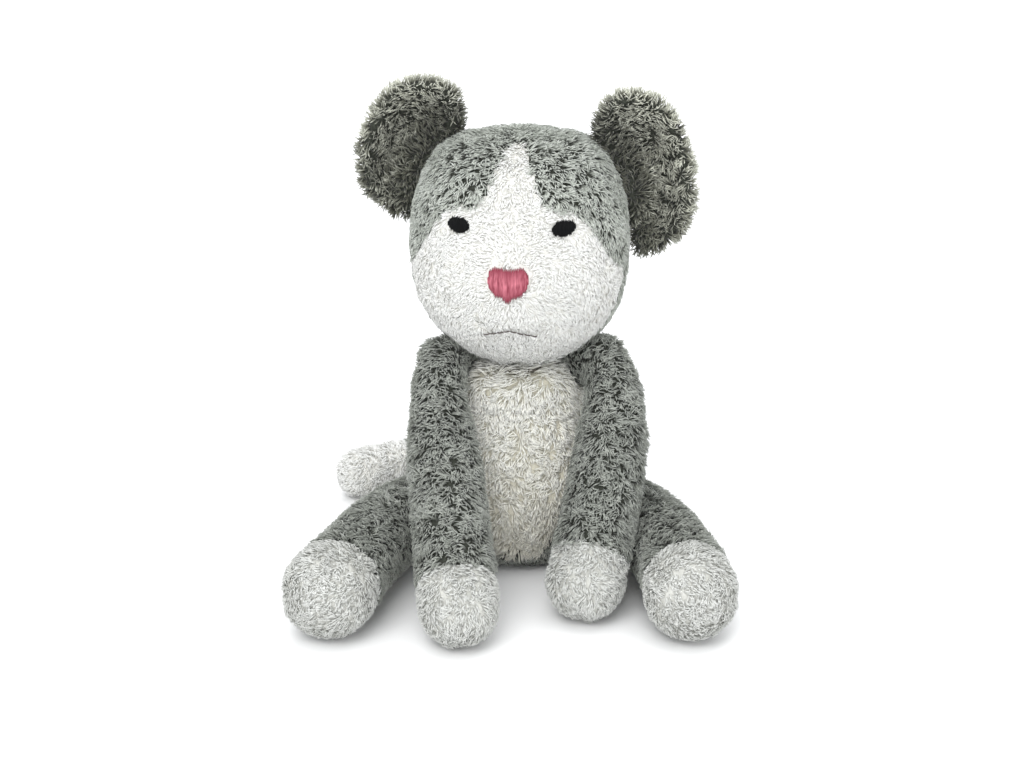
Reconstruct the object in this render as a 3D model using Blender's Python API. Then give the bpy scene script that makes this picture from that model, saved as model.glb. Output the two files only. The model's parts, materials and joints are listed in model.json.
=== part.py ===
"""A seated plush cat, sewn from pile fabric panels, stuffed, and joined by rings of ladder stitches.

Metres, +Z up. The cat faces -Y, and its own left is +X. The origin is the middle of its flat seat.
Run with: blender --background --python part.py
"""

import math

import bmesh
import bpy
from mathutils import Matrix, Vector

# ---- Cloth, gaps and mesh density ---------------------------------------------------------------
CLOTH = 0.0025  # a panel with its pile pressed flat
SEAM_GAP = 0.0006  # between two panels along a seam
FILL_GAP = 0.0006  # between a panel and the filling behind it
JOINT_GAP = 0.0005  # between pieces that turn on each other
STITCHES = 0.0010  # thickness of a ring of stitches
SOCKET_GAP = 2 * JOINT_GAP + STITCHES  # from a round root to its socket
RUFFLE = 0.0004  # how far embroidery stands off the panel under it
BODY_SIDES = 24
LIMB_SIDES = 12
BALL_SIDES = 16
BODY_RINGS = 11
CAP_RINGS = 3  # in the rounded end of a limb
RING_STEP = 0.013  # along a limb
THREAD_SIDES = 12

# ---- Torso --------------------------------------------------------------------------------------
TORSO_HEIGHT = 0.0895
SEAT_WIDTH = 0.058
SEAT_DEPTH = 0.052
HIP_WIDTH = 0.092
HIP_DEPTH = 0.084
HIP_HEIGHT = 0.030
CHEST_WIDTH = 0.061
CHEST_DEPTH = 0.050
CHEST_HEIGHT = 0.075
NECK_DIAMETER = 0.036
TORSO_SQUARENESS = 2.2
BELLY_TOP_WIDTH = 0.060
BELLY_FOOT_WIDTH = 0.030
BELLY_FOOT = 0.011  # its lower edge, over the seat
BELLY_BACK = 0.0013  # its top edge lies this far in front of the neck's middle
SEAT_PANEL_TOP = 0.008

# ---- Head ---------------------------------------------------------------------------------------
HEAD_WIDTH = 0.095
HEAD_DEPTH = 0.090
HEAD_HEIGHT = 0.102
HEAD_SQUARENESS = 2.85  # exponent of its outline over the middle: 2 is an ellipse
CHIN_SQUARENESS = 2.35  # and under it
HEAD_FORWARD = 0.006  # how far its middle lies in front of the neck
NECK_PLAY = 0.0040  # the pivot's height over the torso's top
CHIN_GAP = 0.0010  # from the pivot to the head's underside
MUZZLE_LIFT = 0.005
MUZZLE_RADIUS = 0.020
MUZZLE_HEIGHT = 0.043  # over the neck pivot
HEAD_TURN = math.radians(-6)
HEAD_LEAN = math.radians(0.4)
FACE_BACK = 0.012  # the white cheeks end this far in front of the neck's axis
CROWN_BACK = 0.012  # and the grey crown this far behind it
# Half of the white face's edge, from the blaze's tip to the cheek, as (x, height over the pivot).
FACE_EDGE = (
    (0.0024, 0.1018),
    (0.0068, 0.0960),
    (0.0103, 0.0880),
    (0.0122, 0.0824),
    (0.0172, 0.0795),
    (0.0262, 0.0776),
    (0.0322, 0.0715),
    (0.0382, 0.0630),
    (0.0445, 0.0500),
    (0.0560, 0.0400),
)

# ---- Ears ---------------------------------------------------------------------------------------
# The two are cut alike, but the left one is pulled out along its foot and the right one up from it.
EAR_WIDTHS = {"left": 0.061, "right": 0.052}
EAR_HEIGHTS = {"left": 0.027, "right": 0.029}
EAR_WAIST = 0.84  # its foot's width as a share of its widest
EAR_CUP = 0.010
EAR_CURL = 0.006
EAR_RISES = {"left": 0.75, "right": 0.50}  # how much each leans up along its foot
EAR_SEAT_GAP = 0.0032
# From straight up to the middle of each ear's foot, round the head. They are sewn on a little unevenly.
EAR_ANGLES = {"left": math.radians(66), "right": math.radians(57)}
EAR_ROWS = 6
EAR_COLUMNS = 6

# ---- Embroidery ---------------------------------------------------------------------------------
THREAD = 0.0010  # thickness of satin stitch
EYE_WIDTH = 0.0098
EYE_HEIGHT = 0.0074
EYE_SPREAD = 0.0455  # from eye to eye
EYE_LEVEL = 0.0727  # over the neck pivot
NOSE_WIDTH = 0.0176
NOSE_HEIGHT = 0.0162
NOSE_LEVEL = 0.0497
MOUTH_WIDTH = 0.0245
MOUTH_LEVEL = 0.0274
MOUTH_DROP = 0.0038  # of its corners under its middle
MOUTH_THREAD = 0.0009

# ---- Arms, legs and tail, as curves from their pivots -------------------------------------------
ARM_ROOT = 0.0085  # radii
ARM_TOP = 0.0104
ARM_MIDDLE = 0.0146
ARM_WRIST = 0.0150
PAW_RADIUS = 0.0164
PAW_LENGTH = 0.026  # of white sleeve before the rounded tip
LEG_ROOT = 0.0170
LEG_MIDDLE = 0.0166
FOOT_RADIUS = 0.0195
FOOT_LENGTH = 0.016
TAIL_ROOT = 0.0070
TAIL_RADIUS = 0.0112
TAIL_TIP_LENGTH = 0.030
SHOULDER = Vector((0.0298, -0.004, 0.0885))
HIP = Vector((0.0450, -0.012, 0.0195))
TAIL_PIVOT = Vector((0.0, 0.0450, 0.0160))
ARM_LEFT = ((0, 0, 0), (0.018, -0.010, 0.014), (0.017, -0.034, -0.007), (0.0035, -0.058, -0.0585),
            (-0.0012, -0.078, -0.0711))
ARM_RIGHT = ((0, 0, 0), (-0.013, -0.010, 0.016), (-0.005, -0.038, -0.008), (0, -0.072, -0.052),
             (0.0037, -0.104, -0.0711))
LEG_LEFT = ((0, 0, 0), (0.018, -0.016, 0.0005), (0.026, -0.052, 0.0008), (0.028, -0.090, 0.0012))
LEG_RIGHT = ((0, 0, 0), (-0.018, -0.016, 0.0005), (-0.027, -0.052, 0.0008), (-0.037, -0.088, 0.0012))
TAIL = ((0, 0, 0), (-0.004, 0.030, -0.003), (-0.040, 0.034, -0.0038), (-0.078, 0.010, -0.0040))
STITCHES_FROM = math.radians(22)  # round a root, from the middle of its socket
STITCHES_TO = math.radians(31)

COLOURS = {
    "grey_plush": (0.23, 0.235, 0.205),
    "white_plush": (0.80, 0.80, 0.77),
    "cream_plush": (0.76, 0.74, 0.66),
    "black_thread": (0.012, 0.014, 0.018),
    "rose_thread": (0.52, 0.12, 0.17),
    "grey_thread": (0.16, 0.15, 0.14),
    "wool_filling": (0.78, 0.75, 0.68),
}


# ---- Objects ------------------------------------------------------------------------------------
def clear_scene():
    for thing in list(bpy.data.objects):
        bpy.data.objects.remove(thing)


def material(name):
    made = bpy.data.materials.get(name)
    if made is None:
        made = bpy.data.materials.new(name)
        made.use_nodes = True
        shader = made.node_tree.nodes["Principled BSDF"]
        shader.inputs["Base Color"].default_value = (*COLOURS[name], 1.0)
        shader.inputs["Roughness"].default_value = 0.95
        shader.inputs["Metallic"].default_value = 0.0
    return made


def pivot(name, place, parent=None, turn=None):
    """An empty on a joint's axis, which carries the pieces of one moving body."""
    made = bpy.data.objects.new(name, None)
    bpy.context.scene.collection.objects.link(made)
    made.parent = parent
    made.matrix_basis = Matrix.Translation(place) @ (turn.to_4x4() if turn else Matrix.Identity(4))
    return made


def piece(name, bm, finish, parent):
    bmesh.ops.recalc_face_normals(bm, faces=bm.faces[:])
    mesh = bpy.data.meshes.new(name)
    bm.to_mesh(mesh)
    bm.free()
    mesh.shade_smooth()
    mesh.set_sharp_from_angle(angle=math.radians(40))
    made = bpy.data.objects.new(name, mesh)
    made.data.materials.append(material(finish))
    made.parent = parent
    bpy.context.scene.collection.objects.link(made)
    return made


def helper(name, bm, parent):
    """A cutter or a blank, which is never a piece of the toy."""
    made = piece(name, bm, "grey_thread", parent)
    made.hide_render = True
    made.display_type = "WIRE"
    return made


def boolean(target, other, operation):
    step = target.modifiers.new(f"{operation.lower()}_{other.name}", "BOOLEAN")
    step.operation = operation
    step.object = other
    step.solver = "EXACT"


def cut_cloth(skin, thickness, name, finish, parent, keep=(), drop=()):
    """Cloth under a closed skin, inside every cutter in keep and outside every one in drop."""
    made = piece(name, skin.copy(), finish, parent)
    cloth = made.modifiers.new("cloth", "SOLIDIFY")
    cloth.thickness = thickness
    cloth.offset = -1
    cloth.use_even_offset = True
    for cutter in keep:
        boolean(made, cutter, "INTERSECT")
    for cutter in drop:
        boolean(made, cutter, "DIFFERENCE")
    return made


# ---- Shapes -------------------------------------------------------------------------------------
def smooth_step(value):
    value = min(max(value, 0.0), 1.0)
    return value * value * (3 - 2 * value)


def through(stations, at):
    """The value at a place on a smooth curve through (place, value) stations, flat at each end."""
    if at <= stations[0][0]:
        return stations[0][1]
    for (low, first), (high, second) in zip(stations, stations[1:]):
        if at <= high:
            return first + (second - first) * smooth_step((at - low) / (high - low))
    return stations[-1][1]


def oval(centre, across, along, half_width, half_depth, sides, squareness=2.0):
    """A ring of points on a rounded outline in the plane of across and along."""
    points = []
    for k in range(sides):
        angle = 2 * math.pi * k / sides
        c, s = math.cos(angle), math.sin(angle)
        size = (abs(c) ** squareness + abs(s) ** squareness) ** (-1 / squareness)
        points.append(centre + across * (half_width * size * c) + along * (half_depth * size * s))
    return points


def loft(rings):
    """A closed skin over rings of points. Its faces carry their number along the rings."""
    bm = bmesh.new()
    band = bm.faces.layers.int.new("band")
    loops = []
    for ring in rings:
        verts = [bm.verts.new(point) for point in ring]
        loops.append([bm.edges.new((verts[k - 1], verts[k])) for k in range(len(verts))])
    for number, (first, second) in enumerate(zip(loops, loops[1:])):
        for face in bmesh.ops.bridge_loops(bm, edges=first + second)["faces"]:
            face[band] = number
    for number, end in ((0, loops[0]), (len(rings) - 2, loops[-1])):
        for face in bmesh.ops.contextual_create(bm, geom=end)["faces"]:
            face[band] = number
    bmesh.ops.recalc_face_normals(bm, faces=bm.faces[:])
    return bm


def offset(bm, distance):
    """The same skin moved along its normals: inwards for a negative distance."""
    bm.normal_update()
    for vert, normal in [(v, v.normal.copy()) for v in bm.verts]:
        vert.co += normal * distance * vert.calc_shell_factor()
    return bm


def thicken(bm, thickness, seam=SEAM_GAP):
    """Turns a skin, or the part of one marked to keep, into cloth that lies under that skin."""
    inward = bm.verts.layers.float_vector["inward"]
    draw_in_edge(bm, seam / 2)
    made = bmesh.ops.extrude_face_region(bm, geom=bm.faces[:], use_keep_orig=True)
    for vert in (g for g in made["geom"] if isinstance(g, bmesh.types.BMVert)):
        vert.co += vert[inward] * thickness
    return bm


def remember_inward(bm):
    """Keeps each point's way in, from the whole skin, so that neighbouring panels stay apart."""
    layer = bm.verts.layers.float_vector.get("inward") or bm.verts.layers.float_vector.new("inward")
    bm.normal_update()
    for vert in bm.verts:
        vert[layer] = -vert.normal * vert.calc_shell_factor()
    return bm


def draw_in_edge(bm, distance):
    """Moves an open edge back along the skin, for half the width of a seam."""
    moves = {}
    for edge in (e for e in bm.edges if e.is_boundary):
        face = edge.link_faces[0]
        line = (edge.verts[1].co - edge.verts[0].co).normalized()
        inside = face.calc_center_median() - edge.verts[0].co
        inside = (inside - line * inside.dot(line)).normalized()
        for vert in edge.verts:
            moves.setdefault(vert, []).append(inside)
    for vert, ways in moves.items():
        middle = sum(ways, Vector()).normalized()
        vert.co += middle * distance / max(middle.dot(ways[0]), 0.5)


def panel(form, name, finish, parent, keep):
    """The part of a skin whose faces pass the test, as cloth. The test gets a face's band and middle."""
    bm = remember_inward(form.copy())
    band = bm.faces.layers.int["band"]
    others = [f for f in bm.faces if not keep(f[band], f.calc_center_median())]
    bmesh.ops.delete(bm, geom=others, context="FACES")
    return piece(name, thicken(bm, CLOTH), finish, parent)


def prism(outline, front, back):
    """A closed outline of (x, height) drawn out along Y."""
    bm = bmesh.new()
    face = bm.faces.new([bm.verts.new((x, front, z)) for x, z in outline])
    made = bmesh.ops.extrude_face_region(bm, geom=[face], use_keep_orig=True)
    far = [g for g in made["geom"] if isinstance(g, bmesh.types.BMVert)]
    bmesh.ops.translate(bm, verts=far, vec=(0, back - front, 0))
    return bm


def box(low, high):
    bm = bmesh.new()
    bmesh.ops.create_cube(bm, size=1.0)
    low, high = Vector(low), Vector(high)
    for vert in bm.verts:
        vert.co = Vector((low[i] + (high[i] - low[i]) * (vert.co[i] + 0.5) for i in range(3)))
    return bm


def ball(centre, radius):
    """A ball whose flat faces all lie outside that radius."""
    bm = bmesh.new()
    clear = radius / math.cos(math.pi / BALL_SIDES) ** 2
    bmesh.ops.create_uvsphere(bm, u_segments=BALL_SIDES, v_segments=BALL_SIDES // 2, radius=clear)
    bmesh.ops.translate(bm, verts=bm.verts[:], vec=centre)
    return bm


def stitch_ring(corners, axis):
    """A ring of ladder stitches: corners as (radius, place along the axis), turned about the axis."""
    bm = bmesh.new()
    verts = [bm.verts.new((radius, 0, along)) for radius, along in corners]
    edges = [bm.edges.new((verts[k - 1], verts[k])) for k in range(4)]
    bmesh.ops.spin(bm, geom=verts + edges, cent=(0, 0, 0), axis=(0, 0, 1), angle=2 * math.pi,
                   steps=THREAD_SIDES, use_merge=True)
    bmesh.ops.remove_doubles(bm, verts=bm.verts[:], dist=1e-6)
    turn = Vector((0, 0, 1)).rotation_difference(Vector(axis)).to_matrix()
    bmesh.ops.rotate(bm, verts=bm.verts[:], matrix=turn)
    return bm


def grown(outline, by):
    """An outline of (x, height), drawn anticlockwise, moved outwards."""
    moved = []
    for k, point in enumerate(outline):
        before = Vector(point) - Vector(outline[k - 1])
        after = Vector(outline[(k + 1) % len(outline)]) - Vector(point)
        out = Vector((before.y, -before.x)).normalized() + Vector((after.y, -after.x)).normalized()
        out.normalize()
        reach = by / max(out.dot(Vector((before.y, -before.x)).normalized()), 0.3)
        moved.append((point[0] + out.x * reach, point[1] + out.y * reach))
    return moved


def mirrored(outline):
    return [(-x, z) for x, z in reversed(outline)]


# ---- Torso --------------------------------------------------------------------------------------
def torso_form():
    widths = ((0.0, SEAT_WIDTH), (HIP_HEIGHT, HIP_WIDTH), (CHEST_HEIGHT, CHEST_WIDTH),
              (TORSO_HEIGHT, NECK_DIAMETER))
    depths = ((0.0, SEAT_DEPTH), (HIP_HEIGHT, HIP_DEPTH), (CHEST_HEIGHT, CHEST_DEPTH),
              (TORSO_HEIGHT, NECK_DIAMETER))
    rings = []
    for k in range(BODY_RINGS + 1):
        share = k / BODY_RINGS
        height = TORSO_HEIGHT * (1 - math.cos(math.pi * share)) / 2
        width = rounded_ends(widths, height, TORSO_HEIGHT)
        depth = rounded_ends(depths, height, TORSO_HEIGHT)
        rings.append(oval(Vector((0, 0, height)), Vector((1, 0, 0)), Vector((0, 1, 0)),
                          width / 2, depth / 2, BODY_SIDES, TORSO_SQUARENESS))
    return loft(rings)


def rounded_ends(stations, at, height):
    """A width that leaves each flat end along a round shoulder and follows the stations between."""
    (_, first), (low, second), (high, third), (_, last) = stations
    if at < low:
        return first + (second - first) * math.sqrt(1 - (1 - at / low) ** 2)
    if at > high:
        return last + (third - last) * math.sqrt(max(0.0, 1 - ((at - high) / (height - high)) ** 2))
    return second + (third - second) * smooth_step((at - low) / (high - low))


def belly_outline():
    """Its left half, anticlockwise from the foot of the middle seam."""
    top = TORSO_HEIGHT + CLOTH
    half_top, half_foot = BELLY_TOP_WIDTH / 2, BELLY_FOOT_WIDTH / 2
    side = SEAM_GAP / 2
    return [(side, BELLY_FOOT), (half_foot * 0.6, BELLY_FOOT), (half_foot, BELLY_FOOT + 0.009),
            (half_foot * 1.25, BELLY_FOOT + 0.024), (half_top * 0.92, CHEST_HEIGHT * 0.78),
            (half_top, CHEST_HEIGHT), (half_top, top), (side, top)]


def build_torso(root):
    form = torso_form()
    filling = piece("torso_filling", offset(form.copy(), -CLOTH - FILL_GAP), "wool_filling", root)
    far = 1.5 * max(HIP_WIDTH, HIP_DEPTH)
    left = belly_outline()
    right = mirrored(left)
    belly_left = helper("belly_left_cutter", prism(left, -far, -BELLY_BACK), root)
    belly_right = helper("belly_right_cutter", prism(right, -far, -BELLY_BACK), root)
    whole = grown(left[1:-1] + mirrored(left[1:-1]), SEAM_GAP)
    belly_hole = helper("belly_cutter", prism(whole, -far, SEAM_GAP - BELLY_BACK), root)
    seat = helper("seat_cutter", box((-far, -far, -far), (far, far, SEAT_PANEL_TOP)), root)
    above = helper("above_seat_cutter", box((-far, -far, SEAT_PANEL_TOP + SEAM_GAP), (far, far, far)), root)
    side_left = helper("left_side_cutter", box((SEAM_GAP / 2, -far, -far), (far, far, far)), root)
    side_right = helper("right_side_cutter", box((-far, -far, -far), (-SEAM_GAP / 2, far, far)), root)
    hips, shoulders = [], []
    for side, sign in (("left", 1), ("right", -1)):
        for joint, place, radius, sockets in (
                ("shoulder", SHOULDER, ARM_ROOT, shoulders), ("hip", HIP, LEG_ROOT, hips)):
            centre = Vector((place.x * sign, place.y, place.z))
            sockets.append(helper(f"{joint}_{side}_socket", ball(centre, radius + SOCKET_GAP), root))
    tail = helper("tail_socket", ball(TAIL_PIVOT, TAIL_ROOT + SOCKET_GAP), root)
    for socket in (*hips, *shoulders, tail):
        boolean(filling, socket, "DIFFERENCE")
    for name, finish, keep, drop in (
            ("belly_panel_left", "cream_plush", [belly_left], [hips[0], shoulders[0]]),
            ("belly_panel_right", "cream_plush", [belly_right], [hips[1], shoulders[1]]),
            ("back_panel_left", "grey_plush", [above, side_left], [belly_hole, hips[0], shoulders[0], tail]),
            ("back_panel_right", "grey_plush", [above, side_right],
             [belly_hole, hips[1], shoulders[1], tail]),
            ("seat_panel", "grey_plush", [seat], hips)):
        cut_cloth(form, CLOTH, name, finish, root, keep, drop)


# ---- Head ---------------------------------------------------------------------------------------
def head_form():
    rings = []
    half_height = HEAD_HEIGHT / 2
    for k in range(BODY_RINGS + 1):
        angle = math.pi * (k + 0.22) / (BODY_RINGS + 0.44)
        rise = -math.cos(angle)
        squareness = HEAD_SQUARENESS if rise > 0 else CHIN_SQUARENESS
        reach = (1 - abs(rise) ** squareness) ** (1 / squareness)
        centre = Vector((0, -HEAD_FORWARD * smooth_step(1 - abs(rise)), CHIN_GAP + half_height * (1 + rise)))
        rings.append(oval(centre, Vector((1, 0, 0)), Vector((0, 1, 0)), HEAD_WIDTH / 2 * reach,
                          HEAD_DEPTH / 2 * reach, BODY_SIDES))
    bm = loft(rings)
    for vert in bm.verts:
        if vert.co.y < 0:
            away = math.hypot(vert.co.x, vert.co.z - MUZZLE_HEIGHT) / MUZZLE_RADIUS
            vert.co.y -= MUZZLE_LIFT * math.exp(-away * away)
    return bm


def face_outline():
    """The left half of the white face, anticlockwise from the chin."""
    side = SEAM_GAP / 2
    low = -HEAD_HEIGHT
    return [(side, low), (HEAD_WIDTH, low), (HEAD_WIDTH, FACE_EDGE[-1][1]),
            *reversed(FACE_EDGE), (side, FACE_EDGE[0][1] + 0.002)]


def nose_outline():
    half = NOSE_WIDTH / 2
    low = NOSE_LEVEL - NOSE_HEIGHT / 2
    shares = ((0.08, 0.00), (0.26, 0.14), (0.62, 0.19), (0.92, 0.36),
              (1.00, 0.58), (0.95, 0.86), (0.70, 1.00), (0.18, 0.96))
    right = [(x * half, low + z * NOSE_HEIGHT) for x, z in shares]
    return right + mirrored(right)


def oval_outline(x, z, width, height, points=14):
    turns = [2 * math.pi * k / points for k in range(points)]
    return [(x + width / 2 * math.cos(a), z + height / 2 * math.sin(a)) for a in turns]


def mouth_outline():
    """A bowed line of stitches, a thread wide."""
    steps = 8
    half = MOUTH_WIDTH / 2
    line = []
    for k in range(steps + 1):
        x = half * (2 * k / steps - 1)
        line.append((x, MOUTH_LEVEL - MOUTH_DROP * (abs(x) / half) ** 0.8))
    half = MOUTH_THREAD / 2
    return [(x, z - half) for x, z in line] + [(x, z + half) for x, z in reversed(line)]


def build_head(head):
    form = head_form()
    piece("head_filling", offset(form.copy(), -CLOTH - FILL_GAP), "wool_filling", head)
    threads = offset(form.copy(), RUFFLE + THREAD)
    far = 1.5 * HEAD_HEIGHT
    left = face_outline()
    face_left = helper("face_left_cutter", prism(left, -far, -FACE_BACK), head)
    face_right = helper("face_right_cutter", prism(mirrored(left), -far, -FACE_BACK), head)
    whole = grown(left[1:] + mirrored(left[1:]), SEAM_GAP)
    face_hole = helper("face_cutter", prism(whole, -far, -FACE_BACK + SEAM_GAP), head)
    front_left = helper("crown_left_cutter", box((SEAM_GAP / 2, -far, -far), (far, CROWN_BACK, far)), head)
    right_of_seam = box((-far, -far, -far), (-SEAM_GAP / 2, CROWN_BACK, far))
    front_right = helper("crown_right_cutter", right_of_seam, head)
    back = helper("head_back_cutter", box((-far, CROWN_BACK + SEAM_GAP, -far), (far, far, far)), head)
    for name, finish, keep, drop in (
            ("face_panel_left", "white_plush", [face_left], []),
            ("face_panel_right", "white_plush", [face_right], []),
            ("crown_panel_left", "grey_plush", [front_left], [face_hole]),
            ("crown_panel_right", "grey_plush", [front_right], [face_hole]),
            ("head_back_panel", "grey_plush", [back], [])):
        cut_cloth(form, CLOTH, name, finish, head, keep, drop)
    for side, sign in (("left", 1), ("right", -1)):
        outline = oval_outline(sign * EYE_SPREAD / 2, EYE_LEVEL, EYE_WIDTH, EYE_HEIGHT)
        cutter = helper(f"eye_{side}_cutter", prism(outline, -far, 0), head)
        cut_cloth(threads, THREAD, f"eye_{side}", "black_thread", head, [cutter])
    cutter = helper("nose_cutter", prism(nose_outline(), -far, 0), head)
    cut_cloth(threads, THREAD, "nose_embroidery", "rose_thread", head, [cutter])
    cutter = helper("mouth_cutter", prism(mouth_outline(), -far, 0), head)
    cut_cloth(threads, THREAD, "mouth_stitches", "grey_thread", head, [cutter])


# ---- Ears ---------------------------------------------------------------------------------------
def ear_sheet(width, height, back, lean):
    """A layer of an ear, that far behind its front. X runs along its foot, Z up it, and it opens to -Y."""
    bm = bmesh.new()
    bmesh.ops.create_grid(bm, x_segments=EAR_COLUMNS, y_segments=EAR_ROWS, size=1.0)
    middle = height * 0.42
    for vert in bm.verts:
        s, t = vert.co.x, vert.co.y
        if t > 0:
            x, y = s * math.sqrt(1 - t * t / 2), t * math.sqrt(1 - s * s / 2)
        else:
            x, y = s * (1 + (1 - EAR_WAIST) * t), t
        u = width / 2 * x
        v = middle + (height - middle if y > 0 else middle) * y
        v -= max(-y, 0) * u * u / HEAD_WIDTH
        cup = EAR_CUP * (1 - x * x) * smooth_step(v / middle) - EAR_CURL * max(y, 0) ** 2
        vert.co = Vector((u - lean * max(v, 0), cup, v))
    bmesh.ops.recalc_face_normals(bm, faces=bm.faces[:])
    if sum((f.normal.y for f in bm.faces)) > 0:
        bmesh.ops.reverse_faces(bm, faces=bm.faces[:])
    return thicken(remember_inward(offset(bm, -back)), CLOTH, seam=0)


def build_ear(side, sign, head):
    """Its foot lies on the head's upper corner, and it opens forwards."""
    angle = EAR_ANGLES[side]
    reach = Vector((math.sin(angle) * sign, 0, math.cos(angle)))
    centre = Vector((0, 0.004, CHIN_GAP + HEAD_HEIGHT / 2))
    size = (abs(reach.x) ** HEAD_SQUARENESS + abs(reach.z) ** HEAD_SQUARENESS) ** (-1 / HEAD_SQUARENESS)
    place = centre + Vector((reach.x * HEAD_WIDTH / 2, 0, reach.z * HEAD_HEIGHT / 2)) * size
    foot = Vector((reach.z, 0, -reach.x))
    bulge = 0.0  # how far the head stands out beyond that place, anywhere along the foot
    for k in range(91):
        around = math.radians(k)
        way = Vector((math.sin(around) * sign, 0, math.cos(around)))
        far = (abs(way.x) ** HEAD_SQUARENESS + abs(way.z) ** HEAD_SQUARENESS) ** (-1 / HEAD_SQUARENESS)
        spot = centre + Vector((way.x * HEAD_WIDTH / 2, 0, way.z * HEAD_HEIGHT / 2)) * far - place
        if abs(spot.dot(foot)) < EAR_WIDTHS[side] * EAR_WAIST / 2:
            bulge = max(bulge, spot.dot(reach))
    turn = Matrix((foot, Vector((0, 1, 0)), reach)).transposed()
    ear = pivot(f"ear_{side}_pivot", place + reach * (bulge + EAR_SEAT_GAP), head, turn)
    for name, back in (("front", 0), ("back", CLOTH + SEAM_GAP)):
        sheet = ear_sheet(EAR_WIDTHS[side], EAR_HEIGHTS[side], back, sign * EAR_RISES[side])
        piece(f"ear_{side}_{name}", sheet, "grey_plush", ear)


# ---- Limbs --------------------------------------------------------------------------------------
def bezier(points, share):
    """A point on the curve that the control points pull."""
    points = [Vector(point) for point in points]
    while len(points) > 1:
        points = [a.lerp(b, share) for a, b in zip(points, points[1:])]
    return points[0]


def even_places(points, step):
    """Places along a curve, evenly spaced, with the curve's length."""
    fine = [bezier(points, k / 60) for k in range(61)]
    lengths = [0.0]
    for a, b in zip(fine, fine[1:]):
        lengths.append(lengths[-1] + (b - a).length)
    total = lengths[-1]
    count = max(4, round(total / step))
    places = []
    for k in range(count + 1):
        wanted = total * k / count
        i = min(max(j for j, length in enumerate(lengths) if length <= wanted + 1e-12), 59)
        share = (wanted - lengths[i]) / (lengths[i + 1] - lengths[i])
        places.append((wanted, fine[i].lerp(fine[i + 1], share), (fine[i + 1] - fine[i]).normalized()))
    return places, total


def limb_form(points, radii, across, tip=1.0):
    """A stuffed tube along a curve, with round ends, and each ring's distance, centre and outer side.

    radii are (share of the length, radius) stations.
    """
    places, total = even_places(points, RING_STEP)
    rings, stations = [], []

    def add(distance, centre, way, radius):
        side = (across - way * across.dot(way)).normalized()
        rings.append(oval(centre, side, way.cross(side), radius, radius, LIMB_SIDES))
        stations.append((distance, centre, side))

    root, end = radii[0][1], radii[-1][1]
    angles = [math.pi / 2 * (k + 0.25) / (CAP_RINGS + 0.25) for k in range(CAP_RINGS)]
    _, start, way = places[0]
    for angle in angles:
        add(-root * math.cos(angle), start - way * root * math.cos(angle), way, root * math.sin(angle))
    for distance, centre, way in places:
        add(distance, centre, way, through(radii, distance / total))
    _, start, way = places[-1]
    for angle in reversed(angles):
        add(total + end * tip * math.cos(angle), start + way * end * tip * math.cos(angle), way,
            end * math.sin(angle))
    return loft(rings), stations, total


def build_limb(name, parent, points, radii, across, tip_length, tip_name, tip=1.0):
    """A grey sleeve and a white end, each of two panels seamed along the limb, round one filling."""
    form, stations, total = limb_form(points, radii, across, tip)
    border = min(k for k, (distance, _, _) in enumerate(stations) if distance >= total - tip_length)
    piece(f"{name}_filling", offset(form.copy(), -CLOTH - FILL_GAP), "wool_filling", parent)

    def is_outer(band, middle):
        _, centre, side = stations[band]
        return (middle - centre).dot(side) > 0

    for half, wanted in (("outer", True), ("inner", False)):
        panel(form, f"{name}_sleeve_{half}", "grey_plush", parent,
              lambda band, middle: band < border and is_outer(band, middle) == wanted)
        panel(form, f"{tip_name}_{half}", "white_plush", parent,
              lambda band, middle: band >= border and is_outer(band, middle) == wanted)
    form.free()


def build_jointed_limb(name, place, normal, root, **facts):
    """The ring of stitches that fastens a limb, turned towards its socket, with the limb on it."""
    ring = pivot(f"{name}_seam_pivot", place, root)
    near = facts["radii"][0][1] + JOINT_GAP
    far = near + STITCHES
    corners = [(reach * math.sin(angle), reach * math.cos(angle)) for reach, angle in (
        (near, STITCHES_FROM), (near, STITCHES_TO), (far, STITCHES_TO), (far, STITCHES_FROM))]
    piece(f"{name}_seam_stitches", stitch_ring(corners, normal), "grey_thread", ring)
    build_limb(name, pivot(f"{name}_pivot", Vector(), ring), **facts)


def build_limbs(root):
    out = Vector((1, 0, 0))
    arm_radii = ((0.0, ARM_ROOT), (0.22, ARM_TOP), (0.5, ARM_MIDDLE), (0.75, ARM_WRIST), (1.0, PAW_RADIUS))
    leg_radii = ((0.0, LEG_ROOT), (0.4, LEG_MIDDLE), (0.7, LEG_MIDDLE), (1.0, FOOT_RADIUS))
    tail_radii = ((0.0, TAIL_ROOT), (0.3, TAIL_RADIUS * 0.95), (1.0, TAIL_RADIUS))
    for side, sign, arm, leg in (("left", 1, ARM_LEFT, LEG_LEFT), ("right", -1, ARM_RIGHT, LEG_RIGHT)):
        shoulder = Vector((SHOULDER.x * sign, SHOULDER.y, SHOULDER.z))
        hip = Vector((HIP.x * sign, HIP.y, HIP.z))
        build_jointed_limb(f"arm_{side}", shoulder, -Vector(arm[1]).normalized(), root,
                           points=arm, radii=arm_radii, across=out * sign,
                           tip_length=PAW_LENGTH, tip_name=f"paw_{side}")
        build_jointed_limb(f"leg_{side}", hip, -Vector(leg[1]).normalized(), root,
                           points=leg, radii=leg_radii, across=Vector((0, 0, 1)),
                           tip_length=FOOT_LENGTH, tip_name=f"foot_{side}", tip=0.9)
    build_jointed_limb("tail", TAIL_PIVOT, Vector((0, -1, 0)), root, points=TAIL, radii=tail_radii,
                       across=Vector((0, 0, 1)), tip_length=TAIL_TIP_LENGTH, tip_name="tail_tip")


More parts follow.
